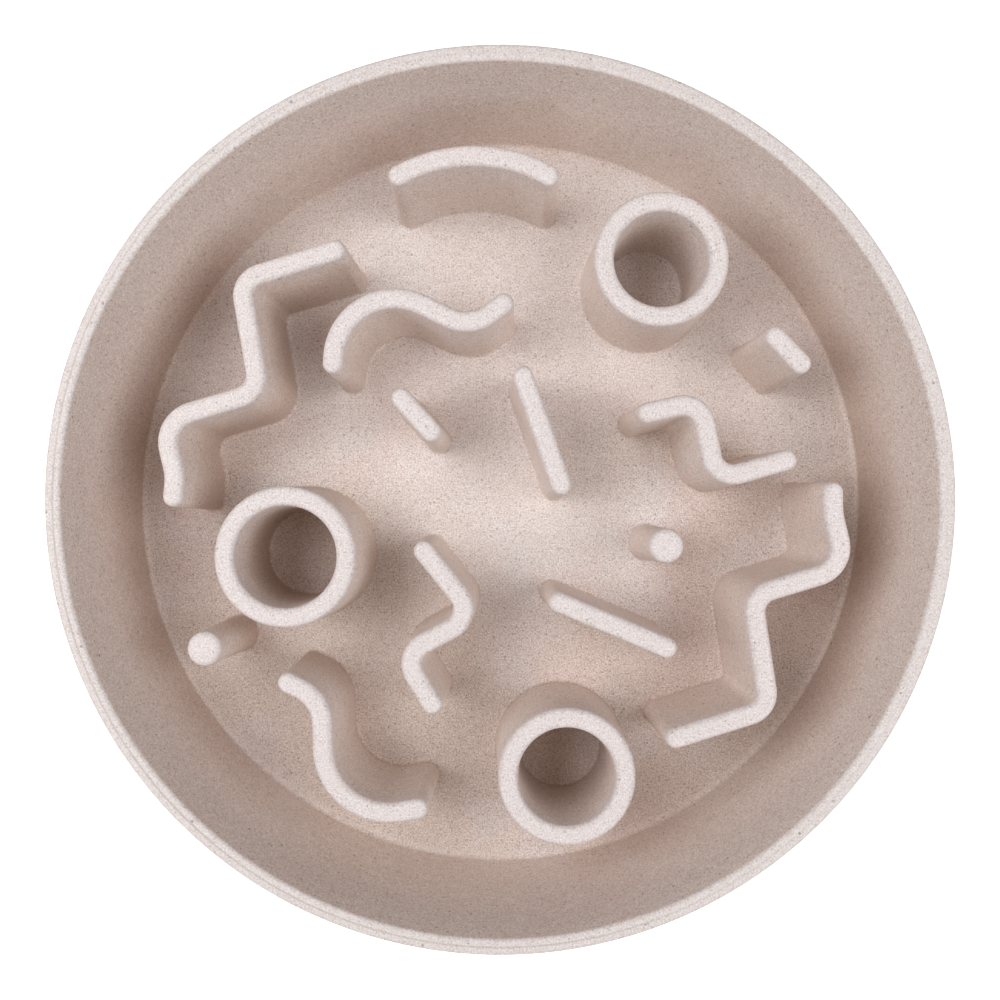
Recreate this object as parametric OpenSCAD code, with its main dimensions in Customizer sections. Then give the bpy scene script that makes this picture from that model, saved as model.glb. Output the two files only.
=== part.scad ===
// Slow feeder bowl. A round moulded dish with upright ridges, rings and posts on its floor, which
// spread the food out, and four soft pads under its foot. Millimetres, +Z up, +Y away from the
// eater. The origin is on the dish's axis, on the surface that the pads stand on.

/* [Dish] */
// Outer diameter of the dish at its rim
dish_d = 250; // [200:5:300]
// Depth from the flat of the rim down to the floor
dish_depth = 50; // [44:1:70]
// Width of the flat rim, which is also the thickness of the wall
wall_t = 4.6; // [3:0.2:6]
// Lean of the wall, in degrees from upright
wall_lean = 5.25; // [1:0.25:10]
// Thickness of the floor
floor_t = 3.5; // [2.5:0.5:5]
// Radius of the rounded edges of the rim
rim_edge_r = 1.2; // [0.5:0.1:1.4]
// Radius of the fillet where the wall meets the floor
floor_fillet_r = 1.6; // [1:0.2:6]

/* [Ridges, rings and posts] */
// Height of every ridge, ring and post above the floor
ridge_h = 40; // [20:1:43]
// Width of a ridge across its top
ridge_w = 5.8; // [4:0.2:7]
// Outer diameter of the back ring across its top
back_ring_d = 38.4; // [30:0.4:44]
// Outer diameter of the left ring across its top
left_ring_d = 40.4; // [30:0.4:44]
// Outer diameter of the front ring across its top
front_ring_d = 39.2; // [30:0.4:44]
// Width of a ring's own wall across its top
ring_wall_w = 5.6; // [4:0.2:8]
// Diameter of a post across its top
post_d = 9.8; // [7:0.2:14]
// Draft of the upright faces, in degrees
draft = 1.2; // [0.5:0.1:2]
// Radius of the rounded top edges
top_edge_r = 1.8; // [0.5:0.1:1.9]
// Radius of the fillet round each foot
foot_fillet_r = 1; // [0.6:0.2:3]

/* [Underside] */
// Height of the foot ring below the floor
foot_ring_h = 2; // [1.5:0.5:6]
// Width of the foot ring
foot_ring_w = 5; // [3:0.5:8]
// Radius of the rounded edges of the foot ring
foot_edge_r = 0.8; // [0.3:0.1:1.2]
// Diameter of a pad
pad_d = 18; // [12:1:24]
// How far the pads stand down past the foot ring
pad_proud = 1; // [0.5:0.1:3]
// Radius of the rounded lower edge of a pad
pad_edge_r = 0.6; // [0.2:0.1:1]
// Gap round a pad inside its collar
pad_gap = 0.2; // [0.1:0.05:0.5]
// Thickness of the collar that holds a pad
collar_t = 1.6; // [1:0.2:3]
// Height of that collar below the floor
collar_h = 1.2; // [0.6:0.1:1.4]

/* [Hidden] */
$fn = 72;

// Levels above the surface that the pads stand on
foot_z = pad_proud;
underside_z = foot_z + foot_ring_h;
floor_z = underside_z + floor_t;
rim_z = floor_z + dish_depth;

// Radii of the dish, where in_r follows the inside of the wall and out_r the outside
rim_r = dish_d / 2;
function out_r(z) = rim_r - (rim_z - z) * tan(wall_lean);
function in_r(z) = out_r(z) - wall_t;
floor_r = in_r(floor_z);

// How far cuts and joined solids run past a surface
overrun = 0.5;

// Angle at which every rounded edge and fillet runs out on the faces beside it, in degrees, so that
// none ends in a feather edge
runout = 8;

// How far a straight run of ridge laps into the bend or end that it meets, and how much lower and
// slimmer on each side it is, so that no two curved faces lie on each other inside a joint
lap = 0.3;
lap_step = 0.04;

// Pads sit on a circle of this share of the floor's radius, turned by this angle
pad_circle_share = 0.82;
pad_turn = 45;
pad_count = 4;
pad_r = pad_d / 2;

// Corner points of each centre line, seen from above, as shares of the floor's radius.
// A run is straight between its bends, and bend_shares are the radii of the bends.
back_arc_shares = [[-0.25, 0.80], [-0.064, 0.896], [0.12, 0.80]];
back_arc_bend_shares = [0.38];
right_block_shares = [[0.678, 0.403], [0.74, 0.337]];
left_zigzag_shares = [
    [-0.406, 0.616], [-0.64, 0.542], [-0.593, 0.268], [-0.832, 0.196], [-0.80, 0.061], [-0.805, 0.01]
];
left_zigzag_bend_shares = [0.056, 0.056, 0.078, 0.118];
back_wave_shares = [[-0.412, 0.338], [-0.393, 0.579], [-0.073, 0.424], [0.008, 0.485]];
back_wave_bend_shares = [0.152, 0.096];
short_bar_shares = [[-0.243, 0.251], [-0.17, 0.17]];
middle_bar_shares = [[0.056, 0.307], [0.15, 0.039]];
small_zigzag_shares = [[0.364, 0.216], [0.494, 0.246], [0.532, 0.049], [0.705, 0.099]];
small_zigzag_bend_shares = [0.056, 0.056];
right_zigzag_shares = [
    [0.819, 0.02], [0.82, -0.034], [0.851, -0.165], [0.621, -0.235], [0.663, -0.513], [0.433, -0.585]
];
right_zigzag_bend_shares = [0.118, 0.073, 0.056, 0.056];
front_bar_shares = [[0.145, -0.251], [0.41, -0.363]];
front_zigzag_shares = [[-0.188, -0.125], [-0.061, -0.284], [-0.241, -0.381], [-0.168, -0.501]];
front_zigzag_bend_shares = [0.056, 0.056];
front_wave_shares = [[-0.522, -0.449], [-0.44, -0.49], [-0.431, -0.798], [-0.203, -0.759]];
front_wave_bend_shares = [0.098, 0.162];

// Places of the rings and posts, as shares of the floor's radius
back_ring_share = [0.397, 0.594];
left_ring_share = [-0.529, -0.139];
front_ring_share = [0.164, -0.68];
right_post_share = [0.409, -0.112];
left_post_share = [-0.727, -0.365];

dish_colour = "#d6c8bf";
ridge_colour = "#e4dad3";
pad_colour = "#8b8580";

// Small piece between a corner at p and the arc of radius r that rounds it, where u and v are the
// unit directions of the two edges away from p. It runs past the corner on the far side, or along
// the direction back where one is given.
module corner_piece(p, u, v, r, back = undef) {
    bisector = (u + v) / norm(u + v);
    half_angle = acos(u * v) / 2;
    inset = r * cos(runout);
    set_back = inset / tan(half_angle);
    centre = p + bisector * inset / sin(half_angle);
    past = is_undef(back) ? -bisector : back;
    difference() {
        polygon([p + u * set_back, centre, p + v * set_back, p + past * overrun]);
        translate(centre) circle(r);
    }
}

// Right half of a shape that lies across the axis
module right_half(reach, height) {
    intersection() {
        children();
        translate([0, -overrun]) square([reach + overrun, height + 2 * overrun]);
    }
}

// Section through half the dish, from the axis out to the rim
module dish_section() {
    lean_up = [sin(wall_lean), cos(wall_lean)];
    foot_out_r = out_r(foot_z);
    foot_in_r = foot_out_r - foot_ring_w;
    difference() {
        union() {
            polygon([
                [0, underside_z], [foot_in_r, underside_z], [foot_in_r, foot_z], [foot_out_r, foot_z],
                [rim_r, rim_z], [rim_r - wall_t, rim_z], [floor_r, floor_z], [0, floor_z]
            ]);
            corner_piece([floor_r, floor_z], [-1, 0], lean_up, floor_fillet_r);
            corner_piece([foot_in_r, underside_z], [-1, 0], [0, -1], foot_edge_r);
        }
        corner_piece([rim_r, rim_z], [-1, 0], -lean_up, rim_edge_r);
        corner_piece([rim_r - wall_t, rim_z], [1, 0], -lean_up, rim_edge_r);
        corner_piece([foot_out_r, foot_z], [-1, 0], lean_up, foot_edge_r);
        corner_piece([foot_in_r, foot_z], [1, 0], [0, 1], foot_edge_r);
    }
}

// Collar under the floor that a pad is pressed into
module pad_collar() {
    hole_r = pad_r + pad_gap;
    rotate_extrude()
        translate([hole_r, underside_z - collar_h]) square([collar_t, collar_h + overrun]);
}

// Moves its children to the place of pad number i
module at_pad(i) {
    rotate(pad_turn + i * 360 / pad_count) translate([floor_r * pad_circle_share, 0]) children();
}

// The dish, with its wall, floor, foot ring and pad collars in one moulding
module dish() {
    color(dish_colour) {
        rotate_extrude() dish_section();
        for (i = [1:pad_count]) at_pad(i) pad_collar();
    }
}

// Half the width of a ridge of width w at the floor, without its fillets
function foot_half(w) = w / 2 + ridge_h * tan(draft);

// Half the width that the ridge takes up on the floor, out to where its fillets run out
function foot_reach(w) =
    foot_half(w) + foot_fillet_r * (cos(runout) / tan(45 + draft / 2) - sin(runout));

// Section across a ridge of width w at its top, with its foot on the floor. Both sides have draft,
// rounded top edges and foot fillets.
module ridge_section(w) {
    up_side = [-sin(draft), cos(draft)];
    foot = foot_half(w);
    difference() {
        union() {
            polygon([[-foot, 0], [foot, 0], [w / 2, ridge_h], [-w / 2, ridge_h]]);
            for (hand = [0, 1]) mirror([hand, 0])
                corner_piece([foot, 0], [1, 0], up_side, foot_fillet_r, [-1, 0]);
        }
        for (hand = [0, 1]) mirror([hand, 0])
            corner_piece([w / 2, ridge_h], [-1, 0], -up_side, top_edge_r);
    }
}

// Heading of the line from a to b, in degrees
function heading(a, b) = atan2(b[1] - a[1], b[0] - a[0]);

// Angle t brought to between -180 and 180 degrees
function wrapped(t) = t > 180 ? t - 360 : t < -180 ? t + 360 : t;

// Turn at corner i of a line of points, in degrees and positive to the left
function turn(line, i) = wrapped(heading(line[i], line[i + 1]) - heading(line[i - 1], line[i]));

// Length of each neighbouring run that the bend at corner i takes up
function set_back(line, bends, i) =
    i == 0 || i == len(line) - 1 ? 0 : bends[i - 1] * tan(abs(turn(line, i)) / 2);

// Length of the straight run that starts at corner i
function run_length(line, bends, i) =
    norm(line[i + 1] - line[i]) - set_back(line, bends, i) - set_back(line, bends, i + 1);

// Straight run of ridge along +X, lapped into what it meets at both of its ends
module run(length) {
    reach = foot_reach(ridge_w);
    translate([-lap, 0, 0]) rotate([90, 0, 90]) linear_extrude(length + 2 * lap) intersection() {
        translate([0, -lap_step]) ridge_section(ridge_w - 2 * lap_step);
        translate([-reach, 0]) square([2 * reach, ridge_h]);
    }
}

// Round end that closes a ridge on the side of +X
module round_end() {
    rotate(-90) rotate_extrude(angle = 180)
        right_half(foot_reach(ridge_w), ridge_h) ridge_section(ridge_w);
}

// Bend that starts along +X and turns by t degrees about a centre at distance r, to the left where t
// is positive
module bend(r, t) {
    translate([0, sign(t) * r, 0]) rotate(t > 0 ? -90 : 90 + t) rotate_extrude(angle = abs(t))
        translate([r, 0]) ridge_section(ridge_w);
}

// Rest of a ridge from run i on, where each run and bend starts square on the end of the one before
module chain(runs, turns, bends, i = 0) {
    run(runs[i]);
    translate([runs[i], 0, 0]) {
        if (i == len(turns)) {
            round_end();
        } else {
            side = sign(turns[i]) * bends[i];
            bend(bends[i], turns[i]);
            translate([0, side, 0]) rotate(turns[i]) translate([0, -side, 0])
                chain(runs, turns, bends, i + 1);
        }
    }
}

// Ridge along a line of corner points with a bend at each inner corner, both given as shares
module ridge(line_shares, bend_shares = []) {
    line = line_shares * floor_r;
    bends = [for (share = bend_shares) max(share * floor_r, foot_reach(ridge_w) + 2 * lap)];
    last = len(line) - 1;
    color(ridge_colour) translate([0, 0, floor_z]) translate(line[0]) rotate(heading(line[0], line[1])) {
        rotate(180) round_end();
        chain(
            [for (i = [0:last - 1]) run_length(line, bends, i)],
            [for (i = [1:1:last - 1]) turn(line, i)],
            bends
        );
    }
}

// Ring of outer diameter d that stands on the floor round its own well
module ring(place_share, d) {
    color(ridge_colour) translate(place_share * floor_r) translate([0, 0, floor_z])
        rotate_extrude() translate([(d - ring_wall_w) / 2, 0]) ridge_section(ring_wall_w);
}

// Round post
module post(place_share) {
    color(ridge_colour) translate(place_share * floor_r) translate([0, 0, floor_z])
        rotate_extrude() right_half(foot_reach(post_d), ridge_h) ridge_section(post_d);
}

module back_arc() { ridge(back_arc_shares, back_arc_bend_shares); }
module right_block() { ridge(right_block_shares); }
module left_zigzag() { ridge(left_zigzag_shares, left_zigzag_bend_shares); }
module back_wave() { ridge(back_wave_shares, back_wave_bend_shares); }
module short_bar() { ridge(short_bar_shares); }
module middle_bar() { ridge(middle_bar_shares); }
module small_zigzag() { ridge(small_zigzag_shares, small_zigzag_bend_shares); }
module right_zigzag() { ridge(right_zigzag_shares, right_zigzag_bend_shares); }
module front_bar() { ridge(front_bar_shares); }
module front_zigzag() { ridge(front_zigzag_shares, front_zigzag_bend_shares); }
module front_wave() { ridge(front_wave_shares, front_wave_bend_shares); }
module back_ring() { ring(back_ring_share, back_ring_d); }
module left_ring() { ring(left_ring_share, left_ring_d); }
module front_ring() { ring(front_ring_share, front_ring_d); }
module right_post() { post(right_post_share); }
module left_post() { post(left_post_share); }

// Soft pad number i, seated on the underside of the floor inside its collar
module foot_pad(i) {
    color(pad_colour) at_pad(i) rotate_extrude() difference() {
        square([pad_r, underside_z]);
        corner_piece([pad_r, 0], [-1, 0], [0, 1], pad_edge_r);
    }
}

dish();
back_arc();
back_ring();
right_block();
left_zigzag();
back_wave();
short_bar();
middle_bar();
small_zigzag();
right_post();
right_zigzag();
front_bar();
left_ring();
front_zigzag();
left_post();
front_wave();
front_ring();
foot_pad(1);  // foot_pad_1
foot_pad(2);  // foot_pad_2
foot_pad(3);  // foot_pad_3
foot_pad(4);  // foot_pad_4
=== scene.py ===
"""Slow feeder bowl, dressed over its solids.

A round dish of matt plant-fibre plastic with upright ridges, open rings and posts on its floor, and
four soft pads under its foot. Sizes are in millimetres, and become metres where a mesh is made. The
origin is on the dish's axis, on the surface that the pads stand on, with +Z up and +Y to the back.
"""

import logging
import math
from dataclasses import dataclass, field
from enum import Enum

import bpy
import numpy as np
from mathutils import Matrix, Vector


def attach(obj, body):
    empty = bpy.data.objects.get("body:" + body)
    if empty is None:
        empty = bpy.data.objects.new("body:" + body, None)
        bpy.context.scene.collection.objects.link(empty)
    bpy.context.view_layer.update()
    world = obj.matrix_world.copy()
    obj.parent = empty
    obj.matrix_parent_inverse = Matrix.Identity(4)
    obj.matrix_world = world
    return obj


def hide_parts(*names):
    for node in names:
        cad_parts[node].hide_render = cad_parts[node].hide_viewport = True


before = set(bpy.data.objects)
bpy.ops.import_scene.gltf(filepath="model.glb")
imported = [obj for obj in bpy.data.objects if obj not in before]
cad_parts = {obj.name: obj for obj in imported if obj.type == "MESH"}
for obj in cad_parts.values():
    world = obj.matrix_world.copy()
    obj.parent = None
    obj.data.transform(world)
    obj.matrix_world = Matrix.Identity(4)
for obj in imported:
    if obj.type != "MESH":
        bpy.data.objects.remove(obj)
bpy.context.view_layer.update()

LOG = logging.getLogger("bowl")
MM = 0.001
Pair = tuple[float, float]
Colour = tuple[float, float, float, float]
Socket = bpy.types.NodeSocket
Tree = bpy.types.NodeTree
ON_AXIS = 1e-9
FILLET_STEPS, EDGE_STEPS, SIDE_STEPS = 11, 9, 8
BEND_STEP, FEWEST_BEND_STEPS = 3, 6
FLOOR_FILLET_STEPS, WALL_STEPS, OUTSIDE_STEPS = 13, 16, 18
RIM_IN_STEPS, RIM_OUT_STEPS = 10, 11
FOOT_EDGE_STEPS, COLLAR_EDGE_STEPS, PAD_EDGE_STEPS, GROOVE_STEPS = 8, 5, 8, 9
RING_STEPS, POST_STEPS, PAD_STEPS, COLLAR_STEPS, DISH_STEPS = 160, 96, 96, 72, 384
SHARP_OVER = 40
PAD_NUMBERS = range(1, 5)
FLOOR_FADE: Pair = (0.5, 4.0)
FLOOR_EDGE = 4.0
NOISE_ROUGHNESS, CLOUD_ROUGHNESS = 0.6, 0.55
NOISE_RANGE: Pair = (0.3, 0.7)


class Slot(Enum):
    """The record's material slots."""

    PLASTIC = "bowl_plastic"
    RUBBER = "pad_rubber"


@dataclass(frozen=True)
class BowlSizes:
    """Sizes that several pieces share, in millimetres and degrees."""

    dish_d: float = 250.0
    dish_depth: float = 50.0
    wall_t: float = 4.6
    wall_lean: float = 5.25
    floor_t: float = 3.5
    rim_edge_r: float = 1.2
    floor_fillet_r: float = 1.6
    ridge_h: float = 40.0
    ridge_w: float = 5.8
    ring_wall_w: float = 5.6
    post_d: float = 9.8
    draft: float = 1.2
    top_edge_r: float = 1.8
    foot_fillet_r: float = 1.0
    foot_ring_h: float = 2.0
    foot_ring_w: float = 5.0
    foot_edge_r: float = 0.8
    pad_d: float = 18.0
    pad_proud: float = 1.0
    pad_edge_r: float = 0.6
    pad_gap: float = 0.2
    collar_t: float = 1.6
    collar_h: float = 1.2
    collar_edge_r: float = 0.25
    pad_circle_share: float = 0.82
    pad_turn: float = 45.0
    sunk: float = 0.2
    flat_step: float = 0.3

    @property
    def underside_z(self) -> float:
        """Height of the underside of the floor."""
        return self.pad_proud + self.foot_ring_h

    @property
    def floor_z(self) -> float:
        """Height of the floor inside the dish."""
        return self.underside_z + self.floor_t

    @property
    def rim_z(self) -> float:
        """Height of the flat of the rim."""
        return self.floor_z + self.dish_depth

    @property
    def floor_r(self) -> float:
        """Radius at which the inside of the wall would meet the floor without its fillet."""
        return self.out_r(self.floor_z) - self.wall_t

    def out_r(self, z: float) -> float:
        """Outer radius of the wall at height z: half of dish_d less the lean below the rim."""
        return self.dish_d / 2 - (self.rim_z - z) * math.tan(math.radians(self.wall_lean))


SIZES = BowlSizes()


def arc(centre: Pair, radius: float, start: float, stop: float, steps: int) -> np.ndarray:
    """Points on a circle: centre + radius * (cos a, sin a), with a going evenly from start to stop.

    Args:
        centre: Centre of the circle.
        radius: Its radius.
        start: First angle, in degrees.
        stop: Last angle, in degrees.
        steps: Number of points.

    Returns:
        An array of shape (steps, 2).
    """
    a = np.radians(np.linspace(start, stop, steps))
    return np.stack([centre[0] + radius * np.cos(a), centre[1] + radius * np.sin(a)], axis=1)


def grid_quads(rows: int, columns: int, closed_rows: bool, closed_columns: bool) -> np.ndarray:
    """Quads of a grid whose vertex (i, j) has the number i * columns + j.

    Args:
        rows: Number of rows, i.
        columns: Number of columns, j.
        closed_rows: Whether the last row meets the first.
        closed_columns: Whether the last column meets the first.

    Returns:
        An array of shape (n, 4), each quad running first along j and then along i.
    """
    i = np.arange(rows if closed_rows else rows - 1)[:, None]
    j = np.arange(columns if closed_columns else columns - 1)[None, :]
    row, next_row = i * columns, (i + 1) % rows * columns
    j2 = (j + 1) % columns
    quads = np.broadcast_arrays(row + j, row + j2, next_row + j2, next_row + j)
    return np.stack(quads, axis=-1).reshape(-1, 4)


@dataclass
class Surface:
    """A closed surface: vertices in millimetres and faces by vertex number."""

    vertices: np.ndarray
    faces: list[list[int]]

    def joined(self, other: "Surface") -> "Surface":
        """This surface and another one in one mesh."""
        shift = len(self.vertices)
        moved = [[n + shift for n in face] for face in other.faces]
        return Surface(np.concatenate([self.vertices, other.vertices]), self.faces + moved)


def revolved(profile: np.ndarray, steps: int, centre: Pair = (0.0, 0.0)) -> Surface:
    """Turns a profile about an upright axis: (x, y, z) = (cx + r cos a, cy + r sin a, z).

    The profile runs so that its solid lies on its right: outwards over a top, down an outer side.
    A profile whose ends lie on the axis is closed there by a fan at each end. Any other is a loop.

    Args:
        profile: Points (r, z), of shape (n, 2).
        steps: Number of steps round the axis.
        centre: Place of the axis.

    Returns:
        The closed surface.
    """
    on_axis = profile[0, 0] < ON_AXIS
    ring = profile[1:-1] if on_axis else profile
    a = np.linspace(0, 2 * math.pi, steps, endpoint=False)[:, None]
    r, z = ring[None, :, 0], ring[None, :, 1]
    x, y = centre[0] + r * np.cos(a), centre[1] + r * np.sin(a)
    vertices = np.stack(np.broadcast_arrays(x, y, z), axis=-1).reshape(-1, 3)
    columns = len(ring)
    faces = grid_quads(steps, columns, True, not on_axis).tolist()
    if on_axis:
        poles = np.array([[*centre, profile[0, 1]], [*centre, profile[-1, 1]]])
        first, last = len(vertices), len(vertices) + 1
        vertices = np.concatenate([vertices, poles])
        now = np.arange(steps) * columns
        then = np.roll(now, -1)
        top = np.stack([np.full(steps, first), now, then], axis=1)
        foot = np.stack([now + columns - 1, np.full(steps, last), then + columns - 1], axis=1)
        faces += top.tolist() + foot.tolist()
    return Surface(vertices, faces)


def upright_side(half_width: float, sizes: BowlSizes) -> np.ndarray:
    """Right side of the section of a ridge, from under its foot up to the flat of its top.

    The foot fillet is the arc tangent to the floor and to the drafted side, and the top edge the
    arc tangent to the side and to the flat. The first column is the offset from the centre line,
    and the second the height above the pads' surface.

    Args:
        half_width: Half of the width across the top, before its edges are rounded.
        sizes: The bowl's sizes.

    Returns:
        An array of shape (n, 2).
    """
    d = math.radians(sizes.draft)
    slope, secant = math.tan(d), 1 / math.cos(d)
    foot_r, top_r, h, z = sizes.foot_fillet_r, sizes.top_edge_r, sizes.ridge_h, sizes.floor_z
    foot_c = (half_width + (h - foot_r) * slope + foot_r * secant, z + foot_r)
    top_c = (half_width + top_r * slope - top_r * secant, z + h - top_r)
    fillet = arc(foot_c, foot_r, -90, -180 + sizes.draft, FILLET_STEPS)
    edge = arc(top_c, top_r, sizes.draft, 90, EDGE_STEPS)
    side = np.linspace(fillet[-1], edge[0], SIDE_STEPS)[1:-1]
    skirt = np.array([[foot_c[0], z - sizes.sunk]])
    flat = np.array([[top_c[0] - sizes.flat_step, z + h]])
    return np.concatenate([skirt, fillet, side, edge, flat])


@dataclass
class CentreLine:
    """A line of straight runs with a bend at each inner corner, seen from above.

    Attributes:
        corners: Corner points, as shares of the floor's radius.
        bends: Radii of the bends, as shares of the floor's radius.
    """

    corners: list[Pair]
    bends: tuple[float, ...] = ()

    def stations(self, sizes: BowlSizes) -> tuple[np.ndarray, np.ndarray]:
        """Points along the line and the heading at each.

        A bend of radius r at a corner where the line turns by t starts r tan(t / 2) before the
        corner, and its points are start + r (sin s, 1 - cos s) in the heading's own axes.

        Args:
            sizes: The bowl's sizes.

        Returns:
            Points of shape (n, 2) in millimetres, and headings of shape (n,) in radians.
        """
        line = np.array(self.corners) * sizes.floor_r
        leg = np.diff(line, axis=0)
        heading = np.arctan2(leg[:, 1], leg[:, 0])
        places, ways = [line[:1]], [heading[:1]]
        at_bends = zip(line[1:-1], self.bends, heading[:-1], heading[1:], strict=True)
        for corner, share, h, h_next in at_bends:
            t = (h_next - h + math.pi) % (2 * math.pi) - math.pi
            r = share * sizes.floor_r
            ahead = np.array([math.cos(h), math.sin(h)])
            aside = np.array([-ahead[1], ahead[0]])
            start = corner - r * math.tan(abs(t) / 2) * ahead
            steps = max(FEWEST_BEND_STEPS, int(math.degrees(abs(t)) / BEND_STEP))
            s = np.linspace(0, abs(t), steps)[:, None]
            sideways = math.copysign(r, t) * (1 - np.cos(s))
            places.append(start + r * np.sin(s) * ahead + sideways * aside)
            ways.append(h + math.copysign(1, t) * s[:, 0])
        places.append(line[-1:])
        ways.append(heading[-1:])
        return np.concatenate(places), np.concatenate(ways)


@dataclass
class Ridge:
    """An upright ridge with round ends, moulded on the floor.

    Attributes:
        node: Name of the solid that it stands for.
        line: Its centre line.
        end_steps: Steps round each end.
    """

    node: str
    line: CentreLine
    end_steps: int = 28

    def surface(self, sizes: BowlSizes) -> Surface:
        """The section carried round the whole outline of the centre line.

        A point of the side is P + w n. P goes along the line, round its end and back, n is the unit
        normal at P, which turns by half a circle at each end, and w and z come from the section.
        The top and the foot are closed by quads across the line and a half disc at each end.

        Args:
            sizes: The bowl's sizes.

        Returns:
            The closed surface.
        """
        place, way = self.line.stations(sizes)
        side = upright_side(sizes.ridge_w / 2, sizes)
        n, m, rows = len(place), self.end_steps, len(side)
        half = np.linspace(0, math.pi, m + 1)[1:-1]
        left = way + math.pi / 2
        right = left - math.pi
        angle = np.concatenate([left, left[-1] - half, right[::-1], right[0] - half])
        last, first = np.repeat(place[-1:], m - 1, axis=0), np.repeat(place[:1], m - 1, axis=0)
        spine = np.concatenate([place, last, place[::-1], first])
        normal = np.stack([np.cos(angle), np.sin(angle)], axis=1)
        flat = spine[:, None, :] + normal[:, None, :] * side[None, :, :1]
        z = np.broadcast_to(side[None, :, 1:], (len(spine), rows, 1))
        vertices = np.concatenate([flat, z], axis=2).reshape(-1, 3)
        faces = grid_quads(len(spine), rows, True, False).tolist()
        l_at = np.arange(n)
        r_at = 2 * n + m - 2 - np.arange(n)
        e_at = np.arange(n, n + m - 1)
        s_at = np.arange(2 * n + m - 1, 2 * n + 2 * m - 2)
        across = np.stack([l_at[:-1], r_at[:-1], r_at[1:], l_at[1:]], axis=1)
        end = [int(r_at[-1]), *e_at[::-1].tolist(), int(l_at[-1])]
        start = [int(l_at[0]), *s_at[::-1].tolist(), int(r_at[0])]
        top = across.tolist() + [end, start]
        faces += [[k * rows + rows - 1 for k in face] for face in top]
        faces += [[k * rows for k in reversed(face)] for face in top]
        return Surface(vertices, faces)


@dataclass
class Ring:
    """An upright open ring round its own well.

    Attributes:
        node: Name of the solid that it stands for.
        place: Its centre, as a share of the floor's radius.
        outer_d: Its outer diameter at the top, in millimetres.
        well_shade: How much painted shade darkens the inside of its well.
    """

    node: str
    place: Pair
    outer_d: float
    well_shade: float = 0.0

    def centre(self, sizes: BowlSizes) -> Pair:
        """Place of the ring's own axis, in millimetres."""
        return self.place[0] * sizes.floor_r, self.place[1] * sizes.floor_r

    def surface(self, sizes: BowlSizes) -> Surface:
        """The section of the ring's wall turned about the middle of the ring.

        Args:
            sizes: The bowl's sizes.

        Returns:
            The closed surface.
        """
        side = upright_side(sizes.ring_wall_w / 2, sizes)
        middle = (self.outer_d - sizes.ring_wall_w) / 2
        inner = side * np.array([-1, 1]) + np.array([middle, 0])
        outer = side[::-1] + np.array([middle, 0])
        return revolved(np.concatenate([inner, outer]), RING_STEPS, self.centre(sizes))


@dataclass
class Post:
    """A round upright post.

    Attributes:
        node: Name of the solid that it stands for.
        place: Its centre, as a share of the floor's radius.
    """

    node: str
    place: Pair

    def surface(self, sizes: BowlSizes) -> Surface:
        """The side of the post turned about its own axis, with a flat top and foot.

        Args:
            sizes: The bowl's sizes.

        Returns:
            The closed surface.
        """
        side = upright_side(sizes.post_d / 2, sizes)[::-1]
        axis_top = np.array([[0.0, side[0, 1]]])
        axis_foot = np.array([[0.0, side[-1, 1]]])
        at = (self.place[0] * sizes.floor_r, self.place[1] * sizes.floor_r)
        return revolved(np.concatenate([axis_top, side, axis_foot]), POST_STEPS, at)


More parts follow.
